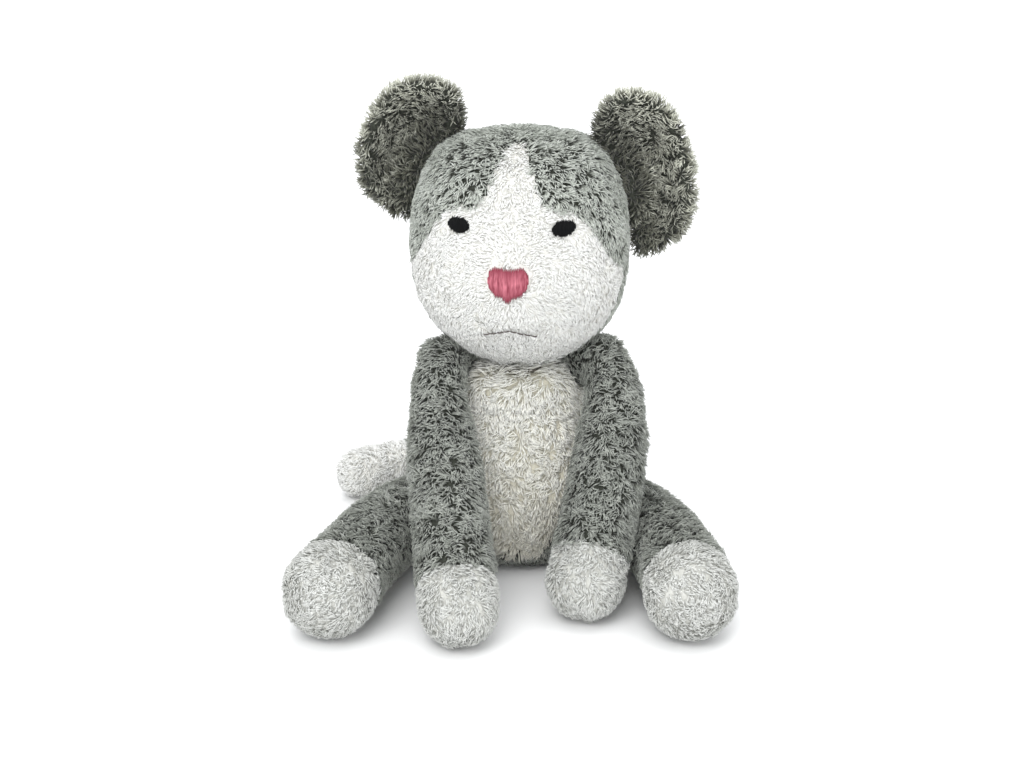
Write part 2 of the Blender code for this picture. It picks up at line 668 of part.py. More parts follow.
def main():
    clear_scene()
    root = pivot("torso_pivot", Vector())
    build_torso(root)
    neck = pivot("neck_pivot", Vector((0, 0, TORSO_HEIGHT + NECK_PLAY)), root)
    outer, low = NECK_DIAMETER / 2 - 0.001, JOINT_GAP - NECK_PLAY
    inner, high = outer - 2 * STITCHES, low + STITCHES
    corners = ((inner, low), (outer, low), (outer, high), (inner, high))
    piece("neck_seam_stitches", stitch_ring(corners, (0, 0, 1)), "grey_thread", neck)
    turn = Matrix.Rotation(HEAD_LEAN, 3, "Y") @ Matrix.Rotation(HEAD_TURN, 3, "Z")
    head = pivot("head_pivot", Vector(), neck, turn)
    build_head(head)
    for side, sign in (("left", 1), ("right", -1)):
        build_ear(side, sign, head)
    build_limbs(root)


main()
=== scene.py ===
"""Looks of the seated plush cat: stuffed skins with their pile, the embroidery, the floor and the light."""
import json
import math

import bmesh
import bpy
import numpy as np
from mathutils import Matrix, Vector, noise
from mathutils.bvhtree import BVHTree
from mathutils.kdtree import KDTree


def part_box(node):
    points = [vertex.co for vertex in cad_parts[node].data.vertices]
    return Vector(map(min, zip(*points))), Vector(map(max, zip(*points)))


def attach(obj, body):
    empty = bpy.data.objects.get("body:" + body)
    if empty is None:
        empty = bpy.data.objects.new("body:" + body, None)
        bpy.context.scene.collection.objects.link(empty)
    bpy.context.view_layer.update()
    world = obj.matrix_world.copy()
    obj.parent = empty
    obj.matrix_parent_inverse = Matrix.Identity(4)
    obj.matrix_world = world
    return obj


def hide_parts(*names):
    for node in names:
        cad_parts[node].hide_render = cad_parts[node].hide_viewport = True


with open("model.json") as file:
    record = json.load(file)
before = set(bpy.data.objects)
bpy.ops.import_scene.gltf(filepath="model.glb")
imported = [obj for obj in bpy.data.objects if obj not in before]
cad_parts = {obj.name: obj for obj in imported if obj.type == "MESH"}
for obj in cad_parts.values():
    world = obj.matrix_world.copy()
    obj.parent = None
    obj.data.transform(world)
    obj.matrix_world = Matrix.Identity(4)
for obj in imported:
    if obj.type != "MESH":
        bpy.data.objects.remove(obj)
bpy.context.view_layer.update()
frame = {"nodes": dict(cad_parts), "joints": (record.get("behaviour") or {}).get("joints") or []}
dice = np.random.default_rng(7)

SIDES = ("left", "right")
# metres
CLOTH_GRID = 0.0026
EAR_GRID = 0.0018
SWELL_LIMIT = 0.0022
SEAM_REACH = 0.0042
SEAM_DRAW = 0.0011
EAR_SEAM_DRAW = 0.0003
FLOOR_CLEARANCE = 0.0006
PATCH_CLEARANCE = 0.0007
MOUTH_THREAD_RADIUS = 0.00034

LOCK_RINGS = 2
THREAD_SIDES = 7
POINTS_PER_SATIN_STITCH = 9
POINTS_PER_MOUTH_STITCH = 5
RAYS_PER_SATIN_COLUMN = 60
RAYS_PER_MOUTH = 40
CLOTH_STEPS = 20

PANELS = {
    "torso": ["belly_panel_left", "belly_panel_right", "back_panel_left", "back_panel_right", "seat_panel"],
    "head": ["face_panel_left", "face_panel_right", "crown_panel_left", "crown_panel_right",
             "head_back_panel"],
    "tail": ["tail_sleeve_outer", "tail_sleeve_inner", "tail_tip_outer", "tail_tip_inner"],
}
for side in SIDES:
    PANELS[f"ear_{side}"] = [f"ear_{side}_front", f"ear_{side}_back"]
    PANELS[f"arm_{side}"] = [f"arm_{side}_sleeve_outer", f"arm_{side}_sleeve_inner",
                             f"paw_{side}_outer", f"paw_{side}_inner"]
    PANELS[f"leg_{side}"] = [f"leg_{side}_sleeve_outer", f"leg_{side}_sleeve_inner",
                             f"foot_{side}_outer", f"foot_{side}_inner"]

# length and width of a lock in metres, locks per square millimetre, how far it leans from upright (0-1),
# sideways curl, pull towards its clump, spacing of the clumps
PILES = {
    "crown": (0.0048, 0.00072, 1.26, 0.68, 0.75, 0.24, 0.0021),
    "limb": (0.0054, 0.00077, 1.17, 0.62, 0.90, 0.26, 0.0022),
    "ear": (0.0056, 0.00076, 1.15, 0.46, 1.00, 0.30, 0.0024),
    "face": (0.0038, 0.00074, 1.45, 0.70, 0.55, 0.18, 0.0028),
    "belly": (0.0060, 0.00078, 1.20, 0.72, 0.60, 0.25, 0.0030),
    "paw": (0.0042, 0.00076, 1.30, 0.64, 0.75, 0.25, 0.0028),
    "tip": (0.0042, 0.00076, 1.30, 0.66, 0.70, 0.25, 0.0030),
    "seat": (0.0028, 0.00080, 0.80, 0.80, 0.40, 0.30, 0.0045),
}


def pile_of(node):
    """The kind of pile that a panel is cut from."""
    if node.startswith("ear"):
        return "ear"
    if node.startswith("face"):
        return "face"
    if node.startswith("belly"):
        return "belly"
    if node.startswith(("paw", "foot")):
        return "paw"
    if node.startswith("tail_tip"):
        return "tip"
    if node.startswith("seat"):
        return "seat"
    if node.startswith(("crown", "head_back")):
        return "crown"
    return "limb"


# ---------------------------------------------------------------- materials


def linear(red, green, blue):
    """A colour given in 0-255 display values, as linear light."""
    return tuple((c / 255) ** 2.2 for c in (red, green, blue)) + (1.0,)


def new_material(name, roughness, sheen=0.0):
    """A material with a plain shader and nothing linked yet."""
    material = bpy.data.materials.new(name)
    material.use_nodes = True
    shader = material.node_tree.nodes["Principled BSDF"]
    shader.inputs["Roughness"].default_value = roughness
    shader.inputs["Sheen Weight"].default_value = sheen
    shader.inputs["Sheen Roughness"].default_value = 0.5
    shader.inputs["Specular IOR Level"].default_value = 0.25
    return material, material.node_tree, shader


def ramp(tree, source, stops):
    """A colour ramp over a value, with its stops as (place, colour)."""
    node = tree.nodes.new("ShaderNodeValToRGB")
    tree.links.new(source, node.inputs["Fac"])
    first, last = node.color_ramp.elements
    first.position, first.color = stops[0]
    last.position, last.color = stops[-1]
    for place, colour in stops[1:-1]:
        node.color_ramp.elements.new(place).color = colour
    return node.outputs["Color"]


def mixed(tree, factor, one, other):
    """Two colours mixed by a painted value. Each colour is a socket or a plain colour."""
    node = tree.nodes.new("ShaderNodeMix")
    node.data_type = "RGBA"
    tree.links.new(factor, node.inputs[0])
    for socket, value in ((node.inputs[6], one), (node.inputs[7], other)):
        if isinstance(value, tuple):
            socket.default_value = value
        else:
            tree.links.new(value, socket)
    return node.outputs[2]


def attribute(tree, name):
    """A value painted on the mesh."""
    node = tree.nodes.new("ShaderNodeAttribute")
    node.attribute_name = name
    return node.outputs["Fac"]


def pile_material(name, dark, light, sheen):
    """Pile that goes from its root colours to its tip colours, from a dark lock to a light one. The darker
    roots are partly the pile's own colour and partly painted shade between the locks.
    """
    material, tree, shader = new_material(name, 0.75, sheen)
    height, shade = attribute(tree, "height"), attribute(tree, "shade")
    low = ramp(tree, height, dark)
    high = ramp(tree, height, light)
    tree.links.new(mixed(tree, shade, low, high), shader.inputs["Base Color"])
    return material


def cloth_material(name, ground, fleck, scale):
    """The knitted backing that the pile stands on."""
    material, tree, shader = new_material(name, 0.9, 0.1)
    place = tree.nodes.new("ShaderNodeTexCoord").outputs["Object"]
    grain = tree.nodes.new("ShaderNodeTexNoise")
    grain.inputs["Scale"].default_value = scale
    grain.inputs["Detail"].default_value = 4
    tree.links.new(place, grain.inputs["Vector"])
    colour = ramp(tree, grain.outputs["Fac"], [(0.3, ground), (0.7, fleck)])
    tree.links.new(colour, shader.inputs["Base Color"])
    return material


def thread_material(name, dark, light, sheen, gloss=0.4):
    """Twisted embroidery thread, with painted light: each stitch brighter along its puffed middle and darker
    towards both ends.
    """
    material, tree, shader = new_material(name, 0.5, sheen)
    shader.inputs["Specular IOR Level"].default_value = gloss
    height, shade = attribute(tree, "height"), attribute(tree, "shade")
    painted_stitch_light = ramp(tree, height, [(0.0, dark), (0.5, light), (1.0, dark)])
    tree.links.new(mixed(tree, shade, dark, painted_stitch_light), shader.inputs["Base Color"])
    return material


# Each ramp runs from root to tip; the darker roots are partly the pile's own colour and partly painted shade
# between the locks
GREY_DARK = [(0.0, linear(44, 46, 39)), (0.35, linear(108, 112, 102)), (1.0, linear(182, 187, 178))]
GREY_LIGHT = [(0.0, linear(70, 73, 64)), (0.35, linear(166, 171, 161)), (1.0, linear(236, 240, 232))]
# Limb and seat pile: the grey pile made darker, painted shade where the lower body lies out of the light
LIMB_DARK = [(0.0, linear(38, 40, 34)), (0.35, linear(90, 93, 85)), (1.0, linear(148, 152, 144))]
LIMB_LIGHT = [(0.0, linear(58, 60, 53)), (0.35, linear(136, 140, 131)), (1.0, linear(204, 207, 199))]
# Ear pile: the grey plush made much darker, painted shade in the cupped ears
EAR_DARK = [(0.0, linear(12, 13, 9)), (0.40, linear(46, 47, 38)), (1.0, linear(112, 113, 100))]
EAR_LIGHT = [(0.0, linear(46, 47, 38)), (0.40, linear(146, 147, 132)), (1.0, linear(238, 239, 225))]
WHITE_DARK = [(0.0, linear(228, 227, 221)), (0.5, linear(239, 239, 235)), (1.0, linear(245, 245, 243))]
WHITE_LIGHT = [(0.0, linear(240, 239, 235)), (0.5, linear(244, 244, 240)), (1.0, linear(249, 249, 247))]
# The cream ramps span far from dark to light so that the belly's painted light and shade by height shows
CREAM_DARK = [(0.0, linear(180, 176, 160)), (0.5, linear(206, 203, 189)), (1.0, linear(224, 222, 210))]
CREAM_LIGHT = [(0.0, linear(244, 241, 228)), (0.5, linear(251, 250, 240)), (1.0, linear(255, 255, 251))]
# Paw and foot pile: the white pile made greyer, painted shade on the low paws and feet
PAW_DARK = [(0.0, linear(194, 194, 189)), (0.5, linear(208, 209, 204)), (1.0, linear(217, 218, 214))]
PAW_LIGHT = [(0.0, linear(203, 204, 199)), (0.5, linear(218, 219, 215)), (1.0, linear(230, 231, 228))]

grey_pile = pile_material("grey_pile", GREY_DARK, GREY_LIGHT, 0.35)
shaded_limb_pile = pile_material("shaded_limb_pile", LIMB_DARK, LIMB_LIGHT, 0.3)
shaded_ear_pile = pile_material("shaded_ear_pile", EAR_DARK, EAR_LIGHT, 0.2)
shaded_paw_pile = pile_material("shaded_paw_pile", PAW_DARK, PAW_LIGHT, 0.15)
white_pile = pile_material("white_pile", WHITE_DARK, WHITE_LIGHT, 0.2)
cream_pile = pile_material("cream_pile", CREAM_DARK, CREAM_LIGHT, 0.2)
grey_cloth = cloth_material("grey_cloth", linear(44, 46, 40), linear(70, 73, 66), 900)
white_cloth = cloth_material("white_cloth", linear(226, 225, 219), linear(236, 235, 231), 900)
# Painted shade: the paws' and feet's backing is a greyer copy of the white cloth
shaded_paw_cloth = cloth_material("shaded_paw_cloth", linear(196, 196, 190), linear(208, 208, 203), 900)
cream_cloth = cloth_material("cream_cloth", linear(204, 200, 184), linear(222, 218, 203), 900)
rose_thread = thread_material("rose_thread", linear(128, 54, 68), linear(206, 124, 138), 0.1, 0.2)
black_thread = thread_material("black_thread", linear(1, 2, 3), linear(6, 10, 13), 0.0, 0.15)
mouth_thread = thread_material("mouth_thread", linear(52, 46, 44), linear(96, 88, 84), 0.2)
seam_thread = cloth_material("seam_thread", linear(96, 92, 86), linear(130, 126, 118), 2600)
wool = cloth_material("wool_filling", linear(214, 208, 194), linear(240, 236, 226), 420)

PILE_MATERIAL = {"crown": grey_pile, "limb": shaded_limb_pile, "seat": shaded_limb_pile, "ear": shaded_ear_pile,
                 "face": white_pile, "tip": white_pile, "belly": cream_pile, "paw": shaded_paw_pile}
CLOTH_MATERIAL = {"crown": grey_cloth, "limb": grey_cloth, "seat": grey_cloth, "ear": grey_cloth,
                  "face": white_cloth, "tip": white_cloth, "belly": cream_cloth, "paw": shaded_paw_cloth}


# ---------------------------------------------------------------- mesh helpers


def in_scene(name, mesh):
    """A new object for a mesh, at the origin."""
    thing = bpy.data.objects.new(name, mesh)
    bpy.context.scene.collection.objects.link(thing)
    return thing


def places(mesh):
    """The mesh's vertices as an array."""
    flat = np.zeros(len(mesh.vertices) * 3, np.float32)
    mesh.vertices.foreach_get("co", flat)
    return flat.reshape(-1, 3).astype(float)


def normals_of(mesh):
    """The normals of the mesh's vertices as an array."""
    flat = np.zeros(len(mesh.vertices) * 3, np.float32)
    mesh.vertices.foreach_get("normal", flat)
    return flat.reshape(-1, 3)


def move_to(mesh, spots):
    """Moves the mesh's vertices to the places in an array."""
    mesh.vertices.foreach_set("co", spots.astype(np.float32).ravel())
    mesh.update()


def tree_of(mesh):
    """A search tree over a mesh's faces."""
    return BVHTree.FromPolygons([v.co for v in mesh.vertices], [p.vertices[:] for p in mesh.polygons])


def joined_copy(name, nodes):
    """A copy of several CAD nodes as one mesh, with their doubled vertices merged."""
    form = bmesh.new()
    for node in nodes:
        form.from_mesh(frame["nodes"][node].data)
    bmesh.ops.remove_doubles(form, verts=form.verts, dist=1e-5)
    mesh = bpy.data.meshes.new(name)
    form.to_mesh(mesh)
    form.free()
    mesh.materials.clear()
    return in_scene(name, mesh)


def settled(thing):
    """Applies the object's modifiers to its mesh."""
    graph = bpy.context.evaluated_depsgraph_get()
    mesh = bpy.data.meshes.new_from_object(thing.evaluated_get(graph))
    thing.modifiers.clear()
    old = thing.data
    thing.data = mesh
    bpy.data.meshes.remove(old)
    return thing


def inflated(skin, hold):
    """Blows the skin up like stuffed cloth that its seams hold back, and caps how far it moves."""
    before = places(skin.data)
    group = skin.vertex_groups.new(name="seams")
    for index, weight in enumerate(hold):
        group.add([index], float(weight), "REPLACE")
    cloth = skin.modifiers.new("stuffing", "CLOTH")
    cloth.settings.quality = 4
    cloth.settings.mass = 0.3
    cloth.settings.tension_stiffness = 12
    cloth.settings.compression_stiffness = 8
    cloth.settings.bending_stiffness = 0.4
    cloth.settings.use_pressure = True
    cloth.settings.uniform_pressure_force = 4
    cloth.settings.vertex_group_mass = "seams"
    cloth.settings.effector_weights.gravity = 0
    cloth.collision_settings.use_collision = False
    cloth.collision_settings.use_self_collision = False
    scene = bpy.context.scene
    for step in range(1, CLOTH_STEPS + 1):
        scene.frame_set(step)
    settled(skin)
    scene.frame_set(1)
    skin.vertex_groups.clear()
    moved = places(skin.data) - before
    far = np.linalg.norm(moved, axis=1, keepdims=True)
    move_to(skin.data, before + moved * np.minimum(1, SWELL_LIMIT / np.maximum(far, 1e-9)))


def stuffed_skin(body):
    """The sewn cloth of one body, full between its seams and drawn in along them, and its panels' trees."""
    nodes = PANELS[body]
    fillings = [body + "_filling"] if body + "_filling" in frame["nodes"] else []
    skin = joined_copy(body + "_cloth", nodes + fillings)
    grid = skin.modifiers.new("grid", "REMESH")
    grid.mode = "VOXEL"
    grid.voxel_size = CLOTH_GRID if fillings else EAR_GRID
    grid.use_smooth_shade = True
    settled(skin)
    ease = skin.modifiers.new("ease", "SMOOTH")
    ease.factor = 0.5
    ease.iterations = 3
    settled(skin)
    trees = [tree_of(frame["nodes"][node].data) for node in nodes]
    seam = []
    for vertex in skin.data.vertices:
        near = sorted(tree.find_nearest(vertex.co)[3] for tree in trees)
        seam.append(1 - min(1, (near[1] - near[0]) / SEAM_REACH))
    seam = np.array(seam) ** 2
    if fillings:
        inflated(skin, seam)
    draw = SEAM_DRAW if fillings else EAR_SEAM_DRAW
    spots = places(skin.data) - normals_of(skin.data) * (seam * draw)[:, None]
    spots[:, 2] = np.maximum(spots[:, 2], FLOOR_CLEARANCE)
    move_to(skin.data, spots)
    for node in nodes:
        skin.data.materials.append(CLOTH_MATERIAL[pile_of(node)])
    for face in skin.data.polygons:
        face.material_index = nearest_panel(trees, face.center)
        face.use_smooth = True
    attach(skin, body)
    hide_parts(*nodes)
    return skin, trees


def shrugged(arm, shoulder):
    """Fills the top of an arm up towards the cheek, over its seam."""
    mesh = arm.data
    inward = -0.5 if shoulder[0] > 0 else 0.5
    for vertex in mesh.vertices:
        share = min(1.0, max(0.0, (vertex.co.z - shoulder[2] + 0.008) / 0.016))
        vertex.co.z += 0.0045 * share * share
        vertex.co.x += inward * 0.0024 * share * share
    mesh.update()


def crowned(head):
    """Fills the upper corners of the head, where the ears are sewn on."""
    spots = places(head.data)
    top = spots[:, 2].max()
    for index, vertex in enumerate(head.data.vertices):
        wide = max(0.0, 1 - abs(abs(spots[index, 0]) - 0.031) / 0.016)
        high = min(1.0, max(0.0, (spots[index, 2] - top + 0.034) / 0.020))
        vertex.co.z += 0.0022 * wide * wide * (3 - 2 * wide) * high
    head.data.update()


def sewn_on(ear, head_tree):
    """Draws the foot of an ear in to the head, and folds its upper rim forward over the crown."""
    mesh = ear.data
    spots = places(mesh)
    reach = np.array([head_tree.find_nearest(Vector(p))[3] for p in spots])
    share = reach / reach.max()
    low, high = spots.min(axis=0), spots.max(axis=0)
    level = (spots[:, 2] - low[2]) / (high[2] - low[2])
    inner = 1 if spots[:, 0].mean() < 0 else -1
    across = (spots[:, 0] - low[0]) / (high[0] - low[0])
    toward = across if inner > 0 else 1 - across
    for index, vertex in enumerate(mesh.vertices):
        spot, _, _, gap = head_tree.find_nearest(vertex.co)
        pull = min(1.0, max(0.0, (0.0110 - gap) / 0.0050))
        fold = max(0.0, toward[index] - 0.35) * max(0.0, level[index] - 0.35) / 0.42
        vertex.co.y -= 0.005 * share[index] ** 3 + 0.011 * min(1.0, fold) * share[index]
        vertex.co.x += inner * 0.010 * min(1.0, fold)
        if gap > 0.0008:
            vertex.co = vertex.co.lerp(spot, pull * (gap - 0.0008) / gap)
    mesh.update()


def nearest_panel(trees, spot):
    """Which panel of a body a point lies on."""
    return min(range(len(trees)), key=lambda k: trees[k].find_nearest(spot)[3])


# ---------------------------------------------------------------- pile


def unit(rows):
    """Each row scaled to length one."""
    return rows / np.maximum(np.linalg.norm(rows, axis=1, keepdims=True), 1e-9)


def along_cloth(rows, normals):
    """Each row with its part along the normal taken out, at length one."""
    return unit(rows - normals * np.sum(rows * normals, axis=1, keepdims=True))


def lock_mesh(rings):
    """One straight lock, one unit long and one unit wide, pointed at both ends."""
    lock = bmesh.new()
    bmesh.ops.create_uvsphere(lock, u_segments=3, v_segments=rings + 1, radius=0.5)
    bmesh.ops.translate(lock, verts=lock.verts, vec=(0, 0, 0.5))
    bmesh.ops.triangulate(lock, faces=lock.faces)
    mesh = bpy.data.meshes.new("lock")
    lock.to_mesh(mesh)
    lock.free()
    corners = np.array([face.vertices[:] for face in mesh.polygons])
    shape = places(mesh)
    bpy.data.meshes.remove(mesh)
    return shape, corners


def repeated(name, spots, corners, shade, height, material):
    """One mesh of many locks. spots holds each lock's vertices, shade and height their painted values."""
    count, size = spots.shape[:2]
    faces = (corners[None] + np.arange(count)[:, None, None] * size).reshape(-1)
    mesh = bpy.data.meshes.new(name)
    mesh.vertices.add(count * size)
    mesh.vertices.foreach_set("co", spots.astype(np.float32).ravel())
    mesh.loops.add(len(faces))
    mesh.loops.foreach_set("vertex_index", faces.astype(np.int32))
    mesh.polygons.add(len(faces) // 3)
    mesh.polygons.foreach_set("loop_start", np.arange(0, len(faces), 3, dtype=np.int32))
    mesh.polygons.foreach_set("use_smooth", np.ones(len(faces) // 3, bool))
    mesh.update(calc_edges=True)
    values = {"shade": np.repeat(shade, size), "height": np.tile(height, count)}
    for word, value in values.items():
        layer = mesh.attributes.new(word, "FLOAT", "POINT")
        layer.data.foreach_set("value", value.astype(np.float32))
    turn = np.tile(np.arange(size) % 3 - 1, count) * 0.006
    u = 0.02 + 0.96 * values["shade"] + turn
    v = 0.02 + 0.96 * values["height"]
    uv = np.stack([u, v], axis=1)[faces]
    mesh.uv_layers.new(name="OFBake").data.foreach_set("uv", uv.astype(np.float32).ravel())
    mesh.materials.append(material)
    return in_scene(name, mesh)


def scattered(mesh, per_mm2):
    """Random points on a mesh, with their normals."""
    mesh.calc_loop_triangles()
    triangles = np.zeros(len(mesh.loop_triangles) * 3, np.int32)
    mesh.loop_triangles.foreach_get("vertices", triangles)
    triangles = triangles.reshape(-1, 3)
    spots = places(mesh)
    normals = normals_of(mesh)
    a, b, c = (spots[triangles[:, k]] for k in range(3))
    area = np.linalg.norm(np.cross(b - a, c - a), axis=1) / 2
    count = int(area.sum() * 1e6 * per_mm2)
    pick = dice.choice(len(triangles), count, p=area / area.sum())
    weight = dice.dirichlet((1, 1, 1), count)
    rows = triangles[pick]
    found = sum(spots[rows[:, k]] * weight[:, k:k + 1] for k in range(3))
    upright = unit(sum(normals[rows[:, k]] * weight[:, k:k + 1] for k in range(3)))
    return found, upright


def swirl(spots, scale):
    """A smooth field of directions that wanders over the given distance."""
    return np.array([noise.noise_vector(Vector(p) / scale)[:] for p in spots])


def clear_length(roots, tips, others):
    """How much of each lock fits before it meets the cloth of another body, from 0.25 to 1."""
    share = np.ones(len(roots))
    for tree, low, high in others:
        close = np.all((tips > low - 0.002) & (tips < high + 0.002), axis=1)
        for index in np.nonzero(close)[0]:
            start, end = Vector(roots[index]), Vector(tips[index])
            span = end - start
            hit = tree.ray_cast(start, span.normalized(), span.length + 0.001)
            if hit[0] is not None:
                share[index] = min(share[index], max(0.25, (hit[3] - 0.0003) / span.length))
    return share


def no_change(spots):
    """Pile with its usual length and shade."""
    return np.ones(len(spots)), np.zeros(len(spots))


def grow_pile(body, skin, trees, flow, others, patches, change):
    """Grows the pile of every panel of one body. change gives the locks' share of length and their painted
    light and shade.
    """
    nodes = PANELS[body]
    kinds = [pile_of(node) for node in nodes]
    most = max(PILES[kind][2] for kind in kinds)
    roots, upright = scattered(skin.data, most)
    panel = np.array([nearest_panel(trees, Vector(p)) for p in roots])
    density = np.array([PILES[kind][2] for kind in kinds])
    keep = dice.random(len(roots)) < density[panel] / most
    for patch in patches:
        keep &= np.array([patch.find_nearest(Vector(p), PATCH_CLEARANCE)[0] is None for p in roots])
    roots, upright, panel = roots[keep], upright[keep], panel[keep]
    for index, node in enumerate(nodes):
        mine = panel == index
        if mine.sum() < 3:
            continue
        length, width, dense, lean, curl, gather, spacing = PILES[kinds[index]]
        base, normal = roots[mine], upright[mine]
        count = len(base)
        clumps = max(3, int(count * (1 / (dense * (spacing * 1000) ** 2))))
        centre_pick = dice.choice(count, clumps, replace=False)
        centres = KDTree(len(centre_pick))
        for place, pick in enumerate(centre_pick):
            centres.insert(base[pick], place)
        centres.balance()
        clump = np.array([centres.find(p)[1] for p in base])
        middle = base[centre_pick][clump]
        wander = swirl(base[centre_pick], 0.009) * 1.6 + dice.normal(0, 0.45, (len(centre_pick), 3))
        heading = flow(base, normal) + wander[clump] + dice.normal(0, 0.22, (count, 3))
        heading = along_cloth(heading, normal)
        across = np.cross(normal, heading)
        bend = (dice.normal(0, 0.5, len(centre_pick))[clump] + dice.normal(0, 0.6, count)) * curl
        size = length * (0.72 + 0.28 * dice.random(count) + 0.25 * dice.random(len(centre_pick))[clump])
        longer, painted_light_and_shade = change(base)
        size = size * longer
        inward = (middle - base) * gather
        lift = math.sqrt(1 - lean * lean)

        def spine(t, size):
            rise = size * lift * (t - 0.42 * lean * t * t)
            run = size * (lean * t * t * 0.65 + lean * t * 0.35)
            side = size * bend * t * t * 0.6
            return base + normal * (rise - 0.0003)[:, None] + heading * run[:, None] \
                + across * side[:, None] + inward * (t ** 1.3)

        share = clear_length(base + normal * 0.0005, spine(1.0, size), others)
        size = size * share
        shape, corners = lock_mesh(LOCK_RINGS)
        spots = np.zeros((count, len(shape), 3))
        for k, (x, y, t) in enumerate(shape):
            here = spine(t, size)
            ahead = unit(spine(min(1.0, t + 0.15), size) - spine(max(0.0, t - 0.15), size))
            up = np.cross(across, ahead)
            thick = width * (1.25 - 0.45 * t)
            spots[:, k] = here + across * (x * thick) + up * (y * thick * 0.75)
        spots[:, :, 2] = np.maximum(spots[:, :, 2], 0.0004)
        # Each lock's shade: its random tone plus the painted light and shade from change
        shade = 0.5 + 0.22 * swirl(base[centre_pick], 0.02)[:, 0][clump] \
            + 0.16 * dice.normal(0, 1, len(centre_pick))[clump] + 0.16 * dice.normal(0, 1, count) + painted_light_and_shade
        material = PILE_MATERIAL[kinds[index]]
        piece = repeated(node + "_pile", spots, corners, np.clip(shade, 0, 1), shape[:, 2], material)
        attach(piece, body)


# ---------------------------------------------------------------- embroidery


def thread_path(points, radius):
    """A closed tube of thread along points."""
    tube = bmesh.new()
    ring = None
    for index, spot in enumerate(points):
        ahead = points[min(index + 1, len(points) - 1)] - points[max(index - 1, 0)]
        turn = Vector((0, 0, 1)).rotation_difference(ahead.normalized()).to_matrix().to_4x4()
        turn.translation = spot
        end = index in (0, len(points) - 1)
        thick = radius * (0.45 if end else 1.0)
        made = bmesh.ops.create_circle(tube, segments=THREAD_SIDES, radius=thick, matrix=turn)
        edges = list({edge for vert in made["verts"] for edge in vert.link_edges})
        if ring:
            bmesh.ops.bridge_loops(tube, edges=ring + edges)
        ring = edges
    bmesh.ops.holes_fill(tube, edges=[e for e in tube.edges if e.is_boundary], sides=THREAD_SIDES)
    bmesh.ops.recalc_face_normals(tube, faces=tube.faces)
    return tube


def new_patch():
    """An empty patch of stitches, with the two values that its thread is painted with."""
    whole = bmesh.new()
    shade = whole.verts.layers.float.new("shade")
    height = whole.verts.layers.float.new("height")
    return whole, shade, height


def add_stitch(whole, tube):
    """Adds a tube of thread to a patch, and gives the vertices that it brought."""
    mesh = bpy.data.meshes.new("stitch")
    tube.to_mesh(mesh)
    tube.free()
    before = len(whole.verts)
    whole.from_mesh(mesh)
    whole.verts.ensure_lookup_table()
    bpy.data.meshes.remove(mesh)
    return whole.verts[before:]


def sewn_on_head(whole, name, node, thread):
    """Makes a finished patch of stitches a piece on the head, in the place of a CAD node."""
    mesh = bpy.data.meshes.new(name)
    whole.to_mesh(mesh)
    whole.free()
    for face in mesh.polygons:
        face.use_smooth = True
    mesh.materials.append(thread)
    piece = in_scene(name, mesh)
    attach(piece, "head")
    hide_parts(node)


def seen_from_front(tree, x, y, z):
    """Where a line that runs straight back from a point meets a surface first, or None."""
    return tree.ray_cast(Vector((x, y, z)), Vector((0, 1, 0)))[0]


def satin_patch(node, thread, gap):
    """Satin stitches side by side over an embroidered patch, each from its lower to its upper edge."""
    low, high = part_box(node)
    tree = tree_of(frame["nodes"][node].data)
    whole, shade, height = new_patch()
    columns = int((high.x - low.x) / gap)
    for column in range(columns + 1):
        x = low.x + (column + 0.5) * (high.x - low.x) / (columns + 1)
        hits = []
        for step in range(RAYS_PER_SATIN_COLUMN + 1):
            z = low.z + (high.z - low.z) * step / RAYS_PER_SATIN_COLUMN
            hit = seen_from_front(tree, x, low.y - 0.01, z)
            if hit is not None and hit.y < (low.y + high.y) / 2 + 0.01:
                hits.append(hit)
        if len(hits) < 4:
            continue
        start, end = hits[0], hits[-1]
        last = POINTS_PER_SATIN_STITCH - 1
        points = []
        for k in range(POINTS_PER_SATIN_STITCH):
            t = k / last
            spot = hits[round(t * (len(hits) - 1))].copy()
            puff = math.sin(math.pi * t) ** 0.5
            spot.y -= 0.00005 + 0.00045 * puff
            spot.x += float(dice.normal(0, 0.00004))
            if k in (0, last):
                spot.z += float(dice.normal(0, 0.00025))
            points.append(spot)
        tone = float(np.clip(dice.normal(0.6, 0.16), 0, 1))
        for vertex in add_stitch(whole, thread_path(points, gap * 0.62)):
            vertex[shade] = min(1.0, max(0.0, tone + 0.9 * noise.noise(vertex.co / 0.0008)))
            vertex[height] = (vertex.co.z - start.z) / max(end.z - start.z, 1e-6)
    sewn_on_head(whole, node + "_stitches", node, thread)


def mouth_line(node, thread):
    """The mouth: short running stitches that sink into the pile between them."""
    low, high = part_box(node)
    tree = tree_of(frame["nodes"][node].data)
    path = []
    for step in range(RAYS_PER_MOUTH + 1):
        x = low.x + (high.x - low.x) * (0.02 + 0.96 * step / RAYS_PER_MOUTH)
        found = []
        for level in range(RAYS_PER_MOUTH + 1):
            z = low.z + (high.z - low.z) * level / RAYS_PER_MOUTH
            hit = seen_from_front(tree, x, low.y - 0.01, z)
            if hit is not None:
                found.append(hit)
        if found:
            path.append(sum(found, Vector()) / len(found) + Vector((0, -0.0009, 0)))
    whole, shade, height = new_patch()
    stride = POINTS_PER_MOUTH_STITCH
    for start in range(0, len(path) - stride, stride):
        part = [p.copy() for p in path[start:start + stride + 1]]
        for k, spot in enumerate(part):
            spot.y += 0.0009 * (abs(2 * k / stride - 1) ** 3) - 0.0003
            spot.z += float(dice.normal(0, 0.00008))
        for vertex in add_stitch(whole, thread_path(part, MOUTH_THREAD_RADIUS)):
            vertex[shade] = float(dice.random() * 0.2 + 0.4)
            vertex[height] = 0.5
    sewn_on_head(whole, node + "_thread", node, thread)


# ---------------------------------------------------------------- the cat


